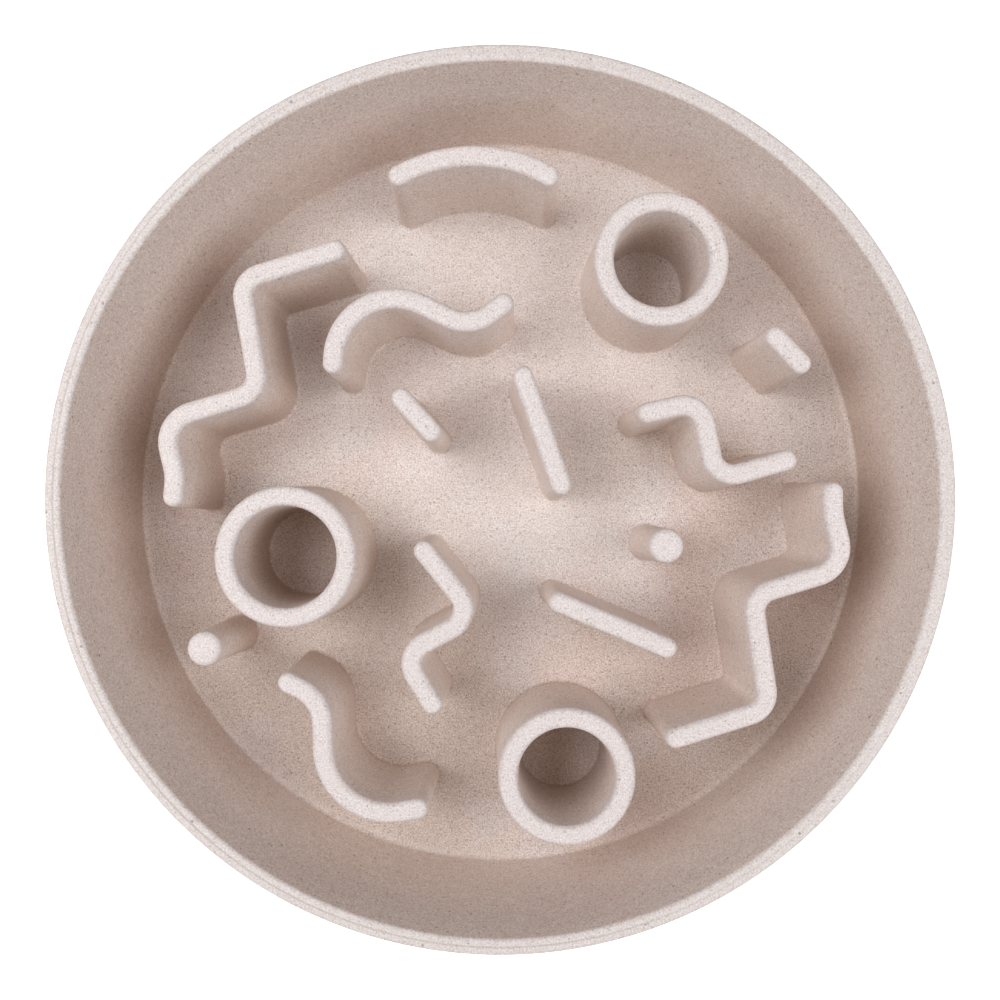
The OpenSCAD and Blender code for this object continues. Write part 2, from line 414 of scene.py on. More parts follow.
@dataclass
class Dish:
    """The floor, the leaning wall with its rim, the foot ring and the pads' collars.

    Attributes:
        node: Name of the solid that it stands for.
        line_share: How far across the rim, from its outer edge, the parting hairline lies.
        line_w: Width of the hairline, in millimetres.
        line_depth: Its depth, in millimetres.
        flat_steps: Number of points along each of the two round flats.
        flat_gap: How far each flat's last point stays from its rounded edge, in millimetres.
    """

    node: str = "dish"
    line_share: float = 0.555
    line_w: float = 0.5
    line_depth: float = 0.03
    flat_steps: int = 22
    flat_gap: float = 0.6

    def line_r(self, sizes: BowlSizes) -> float:
        """Radius of the parting hairline."""
        return sizes.dish_d / 2 - self.line_share * sizes.wall_t

    def flat(self, start: float, stop: float, z: float) -> np.ndarray:
        """Points (r, z) of a flat at height z, with r going evenly from start to stop."""
        r = np.linspace(start, stop, self.flat_steps)
        return np.stack([r, np.full(self.flat_steps, z)], axis=1)

    def profile(self, sizes: BowlSizes) -> np.ndarray:
        """Half section from the axis over the floor, wall and rim and back under the floor.

        Each rounded edge is the arc tangent to its two straight neighbours. For an edge of radius e
        where the wall leans by q, the arc's centre lies e (1 / cos q - tan q) inside the corner.

        Args:
            sizes: The bowl's sizes.

        Returns:
            Points (r, z) of shape (n, 2).
        """
        q = math.radians(sizes.wall_lean)
        lean, tan_q, sec_q = sizes.wall_lean, math.tan(q), 1 / math.cos(q)
        rim_r, rim_z, floor_z, floor_r = sizes.dish_d / 2, sizes.rim_z, sizes.floor_z, sizes.floor_r
        edge, fil = sizes.rim_edge_r, sizes.floor_fillet_r
        inner_rim = rim_r - sizes.wall_t
        foot_z, foot_edge = sizes.pad_proud, sizes.foot_edge_r
        foot_out = sizes.out_r(foot_z)
        foot_in = foot_out - sizes.foot_ring_w
        fillet_c = (floor_r + fil * tan_q - fil * sec_q, floor_z + fil)
        fillet = arc(fillet_c, fil, -90, -lean, FLOOR_FILLET_STEPS)
        rim_in_c = (inner_rim + edge * (sec_q - tan_q), rim_z - edge)
        rim_in = arc(rim_in_c, edge, 180 - lean, 90, RIM_IN_STEPS)
        rim_out_c = (rim_r - edge * (sec_q + tan_q), rim_z - edge)
        rim_out = arc(rim_out_c, edge, 90, -lean, RIM_OUT_STEPS)
        foot_c = (foot_out + foot_edge * (tan_q - sec_q), foot_z + foot_edge)
        foot_arc = arc(foot_c, foot_edge, -lean, -90, FOOT_EDGE_STEPS)
        rise_c = (foot_in + foot_edge, foot_z + foot_edge)
        foot_rise = arc(rise_c, foot_edge, -90, -180, FOOT_EDGE_STEPS)
        under_c = (foot_in - foot_edge, sizes.underside_z - foot_edge)
        under = arc(under_c, foot_edge, 0, 90, FOOT_EDGE_STEPS)
        line_r, half_w = self.line_r(sizes), self.line_w / 2
        groove = np.array(
            [[line_r - half_w, rim_z], [line_r, rim_z - self.line_depth], [line_r + half_w, rim_z]]
        )
        floor = self.flat(0, fillet[0, 0] - self.flat_gap, floor_z)
        wall = np.linspace(fillet[-1], rim_in[0], WALL_STEPS)[1:-1]
        outside = np.linspace(rim_out[-1], foot_arc[0], OUTSIDE_STEPS)[1:-1]
        beneath = self.flat(under[-1, 0] - self.flat_gap, 0, sizes.underside_z)
        inside = [floor, fillet, wall, rim_in, groove]
        return np.concatenate([*inside, rim_out, outside, foot_arc, foot_rise, under, beneath])

    def collar(self, sizes: BowlSizes, number: int) -> Surface:
        """The low collar that holds one pad, as its own closed ring let into the underside.

        Args:
            sizes: The bowl's sizes.
            number: Number of the pad, from 1.

        Returns:
            The closed surface.
        """
        hole, soft = sizes.pad_d / 2 + sizes.pad_gap, sizes.collar_edge_r
        out = hole + sizes.collar_t
        top, low = sizes.underside_z + sizes.sunk, sizes.underside_z - sizes.collar_h
        outer_edge = arc((out - soft, low + soft), soft, 0, -90, COLLAR_EDGE_STEPS)
        inner_edge = arc((hole + soft, low + soft), soft, -90, -180, COLLAR_EDGE_STEPS)
        loop = np.concatenate([[[hole, top], [out, top]], outer_edge, inner_edge])
        return revolved(loop, COLLAR_STEPS, pad_place(sizes, number))

    def surface(self, sizes: BowlSizes) -> Surface:
        """The revolved dish with its collars.

        Args:
            sizes: The bowl's sizes.

        Returns:
            The closed surfaces in one.
        """
        whole = revolved(self.profile(sizes), DISH_STEPS)
        for number in PAD_NUMBERS:
            whole = whole.joined(self.collar(sizes, number))
        return whole


def pad_place(sizes: BowlSizes, number: int) -> Pair:
    """Centre of pad number: the share of the floor's radius at the angle turn + 90 * number.

    Args:
        sizes: The bowl's sizes.
        number: Number of the pad, from 1.

    Returns:
        The place, in millimetres.
    """
    a = math.radians(sizes.pad_turn + 90 * number)
    r = sizes.floor_r * sizes.pad_circle_share
    return r * math.cos(a), r * math.sin(a)


@dataclass
class FootPad:
    """A soft round pad in its collar, with shallow rings under it for grip.

    Attributes:
        number: Number of the pad, from 1.
        grip_rings: Number of grooves in its underface.
        grip_depth: Depth of each, in millimetres.
        grip_w: Width of each, in millimetres.
        first_grip: How many steps in from the edge the first groove lies.
        more_steps: How many more steps than grooves the way from the edge to the middle has.
        bevel: Size of the bevel round its top, in millimetres.
    """

    number: int
    grip_rings: int = 3
    grip_depth: float = 0.35
    grip_w: float = 0.7
    first_grip: float = 0.8
    more_steps: float = 0.6
    bevel: float = 0.4

    @property
    def node(self) -> str:
        """Name of the solid that it stands for."""
        return f"foot_pad_{self.number}"

    def surface(self, sizes: BowlSizes) -> Surface:
        """The pad turned about its own axis, from its top over its side to its grooved underface.

        A groove is a smooth dip: z = depth (1 + cos(2 pi u)) / 2 for u from -1/2 to 1/2 across it.

        Args:
            sizes: The bowl's sizes.

        Returns:
            The closed surface.
        """
        r, top, e = sizes.pad_d / 2, sizes.underside_z, sizes.pad_edge_r
        edge = arc((r - e, e), e, 0, -90, PAD_EDGE_STEPS)
        u = np.linspace(-0.5, 0.5, GROOVE_STEPS)
        steps_in = np.arange(self.grip_rings) + self.first_grip
        spots = (r - e) * (1 - steps_in / (self.grip_rings + self.more_steps))
        dip_r = (spots[:, None] - u[None, :] * self.grip_w).ravel()
        dip_z = np.tile(self.grip_depth * (1 + np.cos(2 * math.pi * u)) / 2, self.grip_rings)
        under = np.stack([dip_r, dip_z], axis=1)
        bevel = self.bevel
        head = np.array([[0.0, top], [r - bevel, top], [r, top - bevel], [r, (top + e) / 2]])
        profile = np.concatenate([head, edge, under, [[0.0, 0.0]]])
        return revolved(profile, PAD_STEPS, pad_place(sizes, self.number))


class Nodes:
    """Short ways to add and link the nodes of one tree."""

    def __init__(self, tree: Tree) -> None:
        """Keeps the tree that the nodes go into."""
        self.tree = tree

    def feed(self, target: Socket, value: object) -> None:
        """Links a socket into an input, or sets a plain value there."""
        if isinstance(value, Socket):
            self.tree.links.new(value, target)
        else:
            target.default_value = value

    def add(
        self, kind: str, settings: dict[str, object] | None = None, **inputs: object
    ) -> bpy.types.Node:
        """Adds a node, and links or sets its inputs by name.

        Args:
            kind: Blender's name of the node's type.
            settings: Attributes of the node.
            inputs: Sockets to link from, or values, by the input's name with _ for a space, or
                by iN for input number N.

        Returns:
            The node.
        """
        node = self.tree.nodes.new(kind)
        for name, value in (settings or {}).items():
            setattr(node, name, value)
        for name, value in inputs.items():
            by_number = name[0] == "i" and name[1:].isdigit()
            self.feed(node.inputs[int(name[1:]) if by_number else name.replace("_", " ")], value)
        return node

    def maths(self, operation: str, a: object, b: object = 0.0) -> Socket:
        """One sum on one or two numbers.

        Args:
            operation: Name of the sum.
            a: First number or socket.
            b: Second number or socket.

        Returns:
            The socket with the result.
        """
        return self.add("ShaderNodeMath", {"operation": operation}, i0=a, i1=b).outputs[0]

    def multiply_add(self, a: object, b: object, c: object) -> Socket:
        """The number a * b + c."""
        sum_of = {"operation": "MULTIPLY_ADD"}
        return self.add("ShaderNodeMath", sum_of, i0=a, i1=b, i2=c).outputs[0]

    def product(self, first: object, *others: object) -> Socket:
        """The product of two or more numbers, from the left."""
        for other in others:
            first = self.maths("MULTIPLY", first, other)
        return first

    def rest(self, share: object) -> Socket:
        """What a share leaves: one less the share."""
        return self.maths("SUBTRACT", 1.0, share)

    def band(self, value: object, low: object, high: object) -> Socket:
        """A smooth step of a value from 0 at low to 1 at high.

        Args:
            value: Number or socket.
            low: Where the step starts.
            high: Where it ends.

        Returns:
            The socket with the step.
        """
        smooth = {"interpolation_type": "SMOOTHSTEP"}
        step = self.add("ShaderNodeMapRange", smooth, Value=value, From_Min=low, From_Max=high)
        return step.outputs["Result"]

    def over(self, value: Socket, ends: Pair, offset: float = 0.0) -> Socket:
        """A smooth step of a place over two ends in millimetres, both counted from the offset."""
        return self.band(value, (offset + ends[0]) * MM, (offset + ends[1]) * MM)

    def tint(self, amount: object, a: object, b: object, mode: str = "MIX") -> Socket:
        """Mixes colour b over colour a.

        Args:
            amount: How much of b.
            a: First colour or socket.
            b: Second colour or socket.
            mode: How they blend.

        Returns:
            The socket with the colour.
        """
        blend = {"data_type": "RGBA", "blend_type": mode}
        return self.add("ShaderNodeMix", blend, i0=amount, i6=a, i7=b).outputs[2]

    def noise(self, where: Socket, layer: "Layer") -> Socket:
        """An even noise that runs about from the layer's low to its high.

        Args:
            where: Socket with the place.
            layer: Its scale and values.

        Returns:
            The socket with the number.
        """
        cloud = self.add(
            "ShaderNodeTexNoise",
            Vector=where,
            Scale=layer.scale,
            Detail=layer.detail,
            Roughness=NOISE_ROUGHNESS,
        )
        step = self.add(
            "ShaderNodeMapRange",
            Value=cloud.outputs["Fac"],
            From_Min=NOISE_RANGE[0],
            From_Max=NOISE_RANGE[1],
            To_Min=layer.low,
            To_Max=layer.high,
        )
        return step.outputs["Result"]

    def matt(self, colour: Socket, rough: Socket, height: Socket, bump: Pair) -> bpy.types.Node:
        """Gives the material one Principled shader with a bump.

        Args:
            colour: Socket with the base colour.
            rough: Socket with the roughness.
            height: Socket with the bump's height.
            bump: Strength of the bump, and its depth in metres.

        Returns:
            The shader.
        """
        face = self.add("ShaderNodeBump", Height=height, Strength=bump[0], Distance=bump[1])
        shader = self.add("ShaderNodeBsdfPrincipled", Base_Color=colour, Roughness=rough)
        self.feed(shader.inputs["Normal"], face.outputs["Normal"])
        self.add("ShaderNodeOutputMaterial", Surface=shader.outputs["BSDF"])
        return shader


class MaskGroup(Nodes):
    """A node group that puts out one mask."""

    def __init__(self, name: str, **numbers: float) -> None:
        """Starts the group, with an input for the place and one for each number.

        Args:
            name: Name of the group.
            numbers: Value of each number where nothing is linked, by name with _ for a space.
        """
        super().__init__(bpy.data.node_groups.new(name, "ShaderNodeTree"))
        face = self.tree.interface
        face.new_socket(name="Vector", in_out="INPUT", socket_type="NodeSocketVector")
        for label, value in numbers.items():
            made = face.new_socket(
                name=label.replace("_", " "), in_out="INPUT", socket_type="NodeSocketFloat"
            )
            made.default_value = value
        face.new_socket(name="Mask", in_out="OUTPUT", socket_type="NodeSocketFloat")
        self.given = self.add("NodeGroupInput").outputs
        self.end = self.add("NodeGroupOutput")

    def put_out(self, mask: Socket) -> None:
        """Links the mask to the group's output."""
        self.feed(self.end.inputs["Mask"], mask)

    def at(self, n: Nodes, where: Socket, **numbers: float) -> Socket:
        """The group's mask in another tree.

        Args:
            n: Helper on that tree.
            where: Socket with the place.
            numbers: The group's own numbers by name, with _ for a space.

        Returns:
            The socket with the mask.
        """
        node = n.add("ShaderNodeGroup", {"node_tree": self.tree}, Vector=where, **numbers)
        return node.outputs["Mask"]


@dataclass(frozen=True)
class Layer:
    """One layer of noise: its scale, a metre, its values at both ends, and its finer detail."""

    scale: float
    low: float
    high: float
    detail: float = 2.0


@dataclass(frozen=True)
class Cloud:
    """One soft cloud: its scale, a metre, and where its step starts and ends."""

    scale: float
    low: float
    high: float

    def mask(self, n: Nodes, clouds: MaskGroup, where: Socket) -> Socket:
        """The mask of the cloud at a place."""
        return clouds.at(n, where, Scale=self.scale, Low=self.low, High=self.high)


@dataclass(frozen=True)
class Specks:
    """Specks of one size.

    Attributes:
        cells: How many cells lie along a metre, each with room for one speck.
        size: Size of a speck, as a share of its cell.
        share: Share of the cells that hold one.
        depth: How much of their colour shows.
    """

    cells: float
    size: float
    share: float
    depth: float

    def mask(self, n: Nodes, specks: MaskGroup, where: Socket) -> Socket:
        """The mask of the specks at a place."""
        numbers = {"Cells_per_Metre": self.cells, "Size": self.size, "Share": self.share}
        return specks.at(n, where, **numbers)


class FibreSpecks(MaskGroup):
    """Group that scatters small fibre specks through a solid.

    Each cell of a point pattern holds one speck about its point. A speck shows where the distance
    to the point is under its own size, and its cell's own random number is under the share.

    Attributes:
        own_size: Size of the smallest speck and how much larger one can be, as shares of Size.
        full: Share of a speck's size within which it shows in full.
        own_depth: Depth of the palest speck, and how much deeper one can be.
    """

    own_size: Pair = (0.45, 0.8)
    full: float = 0.45
    own_depth: Pair = (0.4, 0.6)

    def __init__(self) -> None:
        """Builds the group."""
        super().__init__("fibre_specks", Cells_per_Metre=1500.0, Size=0.3, Share=0.5)
        given = self.given
        cell = self.add(
            "ShaderNodeTexVoronoi",
            {"feature": "F1"},
            Vector=given["Vector"],
            Scale=given["Cells per Metre"],
            Randomness=1.0,
        )
        split = self.add("ShaderNodeSeparateColor", Color=cell.outputs["Color"])
        least, more = self.own_size
        own = self.multiply_add(split.outputs[1], more, least)
        size = self.maths("MULTIPLY", given["Size"], own)
        near = self.add(
            "ShaderNodeMapRange",
            {"interpolation_type": "SMOOTHSTEP"},
            Value=cell.outputs["Distance"],
            From_Min=self.maths("MULTIPLY", size, self.full),
            From_Max=size,
            To_Min=1.0,
            To_Max=0.0,
        )
        there = self.maths("LESS_THAN", split.outputs[0], given["Share"])
        least, more = self.own_depth
        deep = self.multiply_add(split.outputs[2], more, least)
        self.put_out(self.product(near.outputs["Result"], there, deep))


class SoftCloud(MaskGroup):
    """Group that gives a soft cloud from 0 to 1, for slow changes of tone through a moulding."""

    def __init__(self) -> None:
        """Builds the group."""
        super().__init__("soft_cloud", Scale=40.0, Detail=3.0, Low=0.35, High=0.65)
        given = self.given
        cloud = self.add(
            "ShaderNodeTexNoise",
            Vector=given["Vector"],
            Scale=given["Scale"],
            Detail=given["Detail"],
            Roughness=CLOUD_ROUGHNESS,
        )
        self.put_out(self.band(cloud.outputs["Fac"], given["Low"], given["High"]))


def new_material(name: str) -> tuple[bpy.types.Material, Nodes]:
    """Starts a material with an empty tree.

    Args:
        name: Name of the material.

    Returns:
        The material and the helper on its tree.
    """
    made = bpy.data.materials.new(name)
    made.use_nodes = True
    made.node_tree.nodes.clear()
    return made, Nodes(made.node_tree)


@dataclass(frozen=True)
class Spot:
    """Sockets with the place of a point of the plastic, in metres, and the zones that it is in.

    Attributes:
        where: Its Object coordinates.
        x: Its place to the right.
        y: Its place to the back.
        z: Its height.
        radius: Its distance from the axis.
        inside: 1 within the floor's radius, with a soft edge.
        outside: 1 past the floor's radius.
        on_floor: 1 on the floor.
    """

    where: Socket
    x: Socket
    y: Socket
    z: Socket
    radius: Socket
    inside: Socket
    outside: Socket
    on_floor: Socket

    @classmethod
    def read(cls, n: Nodes, sizes: BowlSizes) -> "Spot":
        """Reads the place and works out the zones.

        Args:
            n: Helper on the material.
            sizes: The bowl's sizes.

        Returns:
            The sockets.
        """
        where = n.add("ShaderNodeTexCoord").outputs["Object"]
        x, y, z = n.add("ShaderNodeSeparateXYZ", Vector=where).outputs
        radius = n.maths("SQRT", n.multiply_add(x, x, n.maths("MULTIPLY", y, y)))
        low = n.rest(n.over(z, FLOOR_FADE, sizes.floor_z))
        inside = n.rest(n.over(radius, (-FLOOR_EDGE, 0.0), sizes.floor_r))
        outside = n.maths("GREATER_THAN", radius, sizes.floor_r * MM)
        return cls(where, x, y, z, radius, inside, outside, n.maths("MULTIPLY", low, inside))


@dataclass(frozen=True)
class FibrePlastic:
    """Matt plastic filled with fine plant fibre.

    Ranges of places and heights are in millimetres, and a mask steps smoothly over each.

    Attributes:
        slot: The record's slot; not used.
        body: Colour of the plastic between the specks.
        floor: Its colour on the floor, lighter and warmer than the body: painted light and painted
            shade.
        painted_light_pale: Painted light: the paler colour of the middle and back of the floor,
            which lie in more light.
        crease_shade: Painted shade: a darker colour round the feet of the ridges, where the creases
            lie in shade.
        low_shade: Painted shade: the dark brown of the wells, low on the sides and at the front of
            the floor.
        warm: Colour of its warmer clouds.
        cool: Colour of its cooler clouds.
        lit_top_colour: Painted highlight: the paler, less saturated colour of the tops of the
            ridges.
        rim: Colour of the rim under the same painted highlight: less saturated than the body,
            duller than the tops.
        speck: Colour of the fine specks and of the hairline on the rim.
        husk: Colour of the few larger ones.
        warm_cloud: Where the warmer clouds lie.
        cool_cloud: Where the cooler clouds lie.
        cloud_much: How much of the clouds shows, and how much more on the floor.
        middle_r: Distances from the axis over which the painted light in the middle ends.
        back_y: Places over which the painted light at the back of the floor starts.
        back_much: How strong the painted light at the back is beside the middle.
        painted_light_noise: How much of the painted light's paler colour shows, from place to
            place.
        front_shade_y: Distances to the front over which the painted shade on the floor starts.
        front_shade_much: How much of it shows.
        crease_shade_rise: Heights over the floor over which the painted crease shade starts.
        crease_shade_fall: Heights over which it ends.
        crease_shade_much: How much of it shows.
        well_shade_fall: Heights over the ridges' tops over which the painted shade in a well ends.
        wall_side: Distances to the left or right over which the wall's painted shade starts.
        ridge_side: Distances to the left over which the ridges' painted shade starts.
        wall_gap: Distances past the floor's radius over which the ridges' painted shade ends.
        side_rise: Heights over the floor over which both start.
        side_fall: Heights over which both end.
        side_shade_much: How much of them shows.
        lit_top_drop: How far below a ridge's top its painted highlight starts, down its upper
            sides.
        rim_drop: How far below the rim its own painted highlight starts.
        full_drop: How far below the top both are full.
        grains: Layers of the grain.
        grain_tone: How much of the grain reaches red, green and blue.
        spread: How much more grain the floor, the painted-highlight tops and painted-light floor
            have than the rest.
        fine: The fine specks.
        mid: The middling specks.
        few: The few larger specks.
        line_r: Radius of the parting hairline on the rim.
        line_w: Distances from it over which it ends.
        line_rise: Heights over the rim over which it starts.
        line_left: Places, in metres, of x + line_slant * y over which it turns faint.
        line_slant: How the faint part of the hairline is turned.
        line_much: How much of it shows, and how much more on the left.
        line_wear: Its own wear.
        roughness: Roughness of the moulded face.
        speck_rough: How much rougher the specks are.
        pits: Height of the face's fine pits.
        speck_pit: How much lower the face lies at a middling speck.
        bump: Strength of the pits, and their depth in metres.
        ior: Its index of refraction.
        gloss: Its specular level.
    """

    slot: Slot = Slot.PLASTIC
    body: Colour = (0.749, 0.631, 0.558, 1.0)
    # Painted light and painted shade: the floor's colour is set lighter and warmer than the body.
    floor: Colour = (0.770, 0.642, 0.560, 1.0)
    # Painted light: paler colour where the middle and back of the floor lie in more light.
    painted_light_pale: Colour = (0.805, 0.714, 0.662, 1.0)
    # Painted shade in the creases round the feet of the ridges.
    crease_shade: Colour = (0.54, 0.40, 0.315, 1.0)
    # Painted shade: dark brown for the wells, the low sides and the front of the floor.
    low_shade: Colour = (0.45, 0.30, 0.22, 1.0)
    warm: Colour = (0.752, 0.600, 0.530, 1.0)
    cool: Colour = (0.762, 0.672, 0.625, 1.0)
    # Painted highlight: the tops and the rim, paler and less saturated where they take the light.
    lit_top_colour: Colour = (0.757, 0.655, 0.607, 1.0)
    rim: Colour = (0.730, 0.632, 0.579, 1.0)
    speck: Colour = (0.33, 0.235, 0.185, 1.0)
    husk: Colour = (0.20, 0.14, 0.11, 1.0)
    warm_cloud: Cloud = Cloud(24.0, 0.42, 0.68)
    cool_cloud: Cloud = Cloud(33.0, 0.48, 0.70)
    cloud_much: Pair = (0.45, 0.35)
    middle_r: Pair = (10.0, 62.0)
    back_y: Pair = (-5.0, 50.0)
    back_much: float = 0.9
    painted_light_noise: Layer = Layer(40.0, 0.5, 0.8)
    front_shade_y: Pair = (10.0, 80.0)
    front_shade_much: float = 0.15
    crease_shade_rise: Pair = (0.01, 0.25)
    crease_shade_fall: Pair = (0.6, 3.0)
    crease_shade_much: float = 0.3
    well_shade_fall: Pair = (-26.0, -3.0)
    wall_side: Pair = (68.0, 112.0)
    ridge_side: Pair = (30.0, 75.0)
    wall_gap: Pair = (-11.0, -4.0)
    side_rise: Pair = (0.3, 2.0)
    side_fall: Pair = (4.0, 38.0)
    side_shade_much: float = 0.5
    lit_top_drop: float = 7.0
    rim_drop: float = 1.6
    full_drop: float = 0.2
    grains: tuple[Layer, ...] = (
        Layer(2000.0, -0.28, 0.26),
        Layer(560.0, -0.055, 0.055),
        Layer(230.0, -0.02, 0.02),
    )
    grain_tone: tuple[float, float, float] = (0.74, 1.05, 1.22)
    spread: tuple[float, float, float] = (0.36, -0.18, -0.4)
    fine: Specks = Specks(1500.0, 0.40, 0.5, 0.55)
    mid: Specks = Specks(820.0, 0.34, 0.36, 0.72)
    few: Specks = Specks(330.0, 0.17, 0.25, 0.8)
    line_r: float = Dish().line_r(SIZES)
    line_w: Pair = (0.08, 0.42)
    line_rise: Pair = (-0.6, -0.2)
    line_left: Pair = (-0.15, 0.12)
    line_slant: float = 0.7
    line_much: Pair = (0.05, 0.36)
    line_wear: Layer = Layer(25.0, 0.7, 1.1)
    roughness: float = 0.55
    speck_rough: float = 0.2
    pits: Layer = Layer(1300.0, 0.3, 0.7, 3.0)
    speck_pit: float = 0.8
    bump: Pair = (0.22, 0.00012)
    ior: float = 1.46
    gloss: float = 0.4

    @staticmethod
    def between(n: Nodes, z: Socket, rise: Pair, fall: Pair) -> Socket:
        """A mask of 1 between two heights over the floor, which starts and ends smoothly."""
        started = n.over(z, rise, SIZES.floor_z)
        return n.maths("MULTIPLY", started, n.rest(n.over(z, fall, SIZES.floor_z)))

    def lit_tops(self, n: Nodes, spot: Spot) -> Socket:
        """A mask of painted highlight: 1 on the rim and on the tops of the ridges.

        The top at a place is the rim's height outside the floor's radius and the ridges' height
        inside it, and the mask steps up smoothly over the last few millimetres below it.

        Args:
            n: Helper on the material.
            spot: The place.

        Returns:
            The socket with the mask.
        """
        ridge_top = SIZES.floor_z + SIZES.ridge_h
        top = n.multiply_add(spot.outside, (SIZES.rim_z - ridge_top) * MM, ridge_top * MM)
        less = self.lit_top_drop - self.rim_drop
        start = n.multiply_add(spot.outside, less * MM, -self.lit_top_drop * MM)
        return n.band(n.maths("SUBTRACT", spot.z, top), start, -self.full_drop * MM)

    def painted_light_floor(self, n: Nodes, spot: Spot) -> Socket:
        """A mask of painted light: the middle and the back of the floor, paler where more light
        falls.

        Args:
            n: Helper on the material.
            spot: The place.

        Returns:
            The socket with the mask.
        """
        middle = n.rest(n.over(spot.radius, self.middle_r))
        back = n.over(spot.y, self.back_y)
        where = n.maths("MAXIMUM", middle, n.maths("MULTIPLY", back, self.back_much))
        return n.product(where, spot.on_floor, n.noise(spot.where, self.painted_light_noise))

    def painted_low_shade(self, n: Nodes, colour: Socket, spot: Spot, rings: tuple[Ring, ...]) -> Socket:
        """Paints shade into the wells, the wall low on its left and right, and the ridges low on
        the left.

        Args:
            n: Helper on the material.
            colour: Socket with the colour so far.
            spot: The place.
            rings: The rings, with how much painted shade each well has.

        Returns:
            The socket with the colour.
        """
        # Painted shade inside the wells, below the ridges' tops.
        deep = n.rest(n.over(spot.z, self.well_shade_fall, SIZES.floor_z + SIZES.ridge_h))
        flat_place = n.add("ShaderNodeCombineXYZ", X=spot.x, Y=spot.y).outputs[0]
        for ring in rings:
            if ring.well_shade:
                x, y = ring.centre(SIZES)
                middle, middle_r = (x * MM, y * MM, 0.0), (ring.outer_d - SIZES.ring_wall_w) / 2
                measure = {"operation": "DISTANCE"}
                away = n.add("ShaderNodeVectorMath", measure, i0=flat_place, i1=middle)
                well = n.maths("LESS_THAN", away.outputs["Value"], middle_r * MM)
                colour = n.tint(n.product(well, deep, ring.well_shade), colour, self.low_shade)
        # Painted shade low on the left and right of the wall, and low on the left of the ridges.
        inner = n.rest(n.over(spot.radius, self.wall_gap, SIZES.floor_r))
        aside = n.over(n.maths("ABSOLUTE", spot.x), self.wall_side)
        leftwards = n.over(n.maths("MULTIPLY", spot.x, -1.0), self.ridge_side)
        sides = n.maths("ADD", n.product(aside, spot.outside), n.product(leftwards, inner))
        low_sides = n.product(sides, self.between(n, spot.z, self.side_rise, self.side_fall))
        return n.tint(n.maths("MULTIPLY", low_sides, self.side_shade_much), colour, self.low_shade)

    def moulded(
        self, n: Nodes, spot: Spot, lit_tops: Socket, pale: Socket, rings: tuple[Ring, ...]
    ) -> Socket:
        """The plastic's colour before its grain and specks.

        Args:
            n: Helper on the material.
            spot: The place.
            lit_tops: Mask of the painted highlight on the tops.
            pale: Mask of the painted light on the floor.
            rings: The rings, with how much painted shade each well has.

        Returns:
            The socket with the colour.
        """
        clouds = SoftCloud()
        # On the floor the colour turns lighter and warmer: painted light and painted shade.
        colour = n.tint(spot.on_floor, self.body, self.floor)
        much = n.multiply_add(spot.on_floor, self.cloud_much[1], self.cloud_much[0])
        for cloud, tone in ((self.warm_cloud, self.warm), (self.cool_cloud, self.cool)):
            mask = cloud.mask(n, clouds, spot.where)
            colour = n.tint(n.maths("MULTIPLY", mask, much), colour, tone)
        # Painted light: the middle and back of the floor turn paler.
        colour = n.tint(pale, colour, self.painted_light_pale)
        # Painted highlight on the tops of the ridges and on the rim.
        colour = n.tint(lit_tops, colour, n.tint(spot.outside, self.lit_top_colour, self.rim))
        # Painted shade: darker round the feet of the ridges, in the creases.
        low = self.between(n, spot.z, self.crease_shade_rise, self.crease_shade_fall)
        colour = n.tint(n.product(low, spot.inside, self.crease_shade_much), colour, self.crease_shade)
        # Painted shade at the front of the floor.
        front = n.over(n.maths("MULTIPLY", spot.y, -1.0), self.front_shade_y)
        colour = n.tint(n.product(spot.on_floor, front, self.front_shade_much), colour, self.low_shade)
        return self.painted_low_shade(n, colour, spot, rings)

    def grained(self, n: Nodes, colour: Socket, where: Socket, spread: Socket) -> Socket:
        """Lays the grain over a colour, weaker in red and stronger in blue.

        Args:
            n: Helper on the material.
            colour: Socket with the colour so far.
            where: Socket with the place.
            spread: How strong the grain is there.

        Returns:
            The socket with the colour.
        """
        grain = n.noise(where, self.grains[0])
        for layer in self.grains[1:]:
            grain = n.maths("ADD", grain, n.noise(where, layer))
        grain = n.maths("MULTIPLY", grain, spread)
        red, green, blue = (n.multiply_add(grain, share, 1.0) for share in self.grain_tone)
        tone = n.add("ShaderNodeCombineColor", Red=red, Green=green, Blue=blue)
        return n.tint(1.0, colour, tone.outputs["Color"], "MULTIPLY")

    def hairline(self, n: Nodes, spot: Spot) -> Socket:
        """A mask of the dirt in the parting hairline, which is stronger on the left.

        Args:
            n: Helper on the material.
            spot: The place.

        Returns:
            The socket with the mask.
        """
        off_line = n.maths("ABSOLUTE", n.maths("SUBTRACT", spot.radius, self.line_r * MM))
        on_line = n.rest(n.over(off_line, self.line_w))
        at_rim = n.over(spot.z, self.line_rise, SIZES.rim_z)
        left = n.rest(n.band(n.multiply_add(spot.y, self.line_slant, spot.x), *self.line_left))
        much = n.multiply_add(left, self.line_much[1], self.line_much[0])
        return n.product(on_line, at_rim, much, n.noise(spot.where, self.line_wear))

    def material(self, rings: tuple[Ring, ...]) -> bpy.types.Material:
        """Builds the material on Object coordinates.

        Args:
            rings: The rings, with how much painted shade each well has.

        Returns:
            The material.
        """
        made, n = new_material("fibre_plastic")
        specks = FibreSpecks()
        spot = Spot.read(n, SIZES)
        lit_tops, pale = self.lit_tops(n, spot), self.painted_light_floor(n, spot)
        colour = self.moulded(n, spot, lit_tops, pale, rings)
        on_floor, on_lit_tops, on_painted_light = self.spread
        spread = n.multiply_add(lit_tops, on_lit_tops, n.multiply_add(spot.on_floor, on_floor, 1.0))
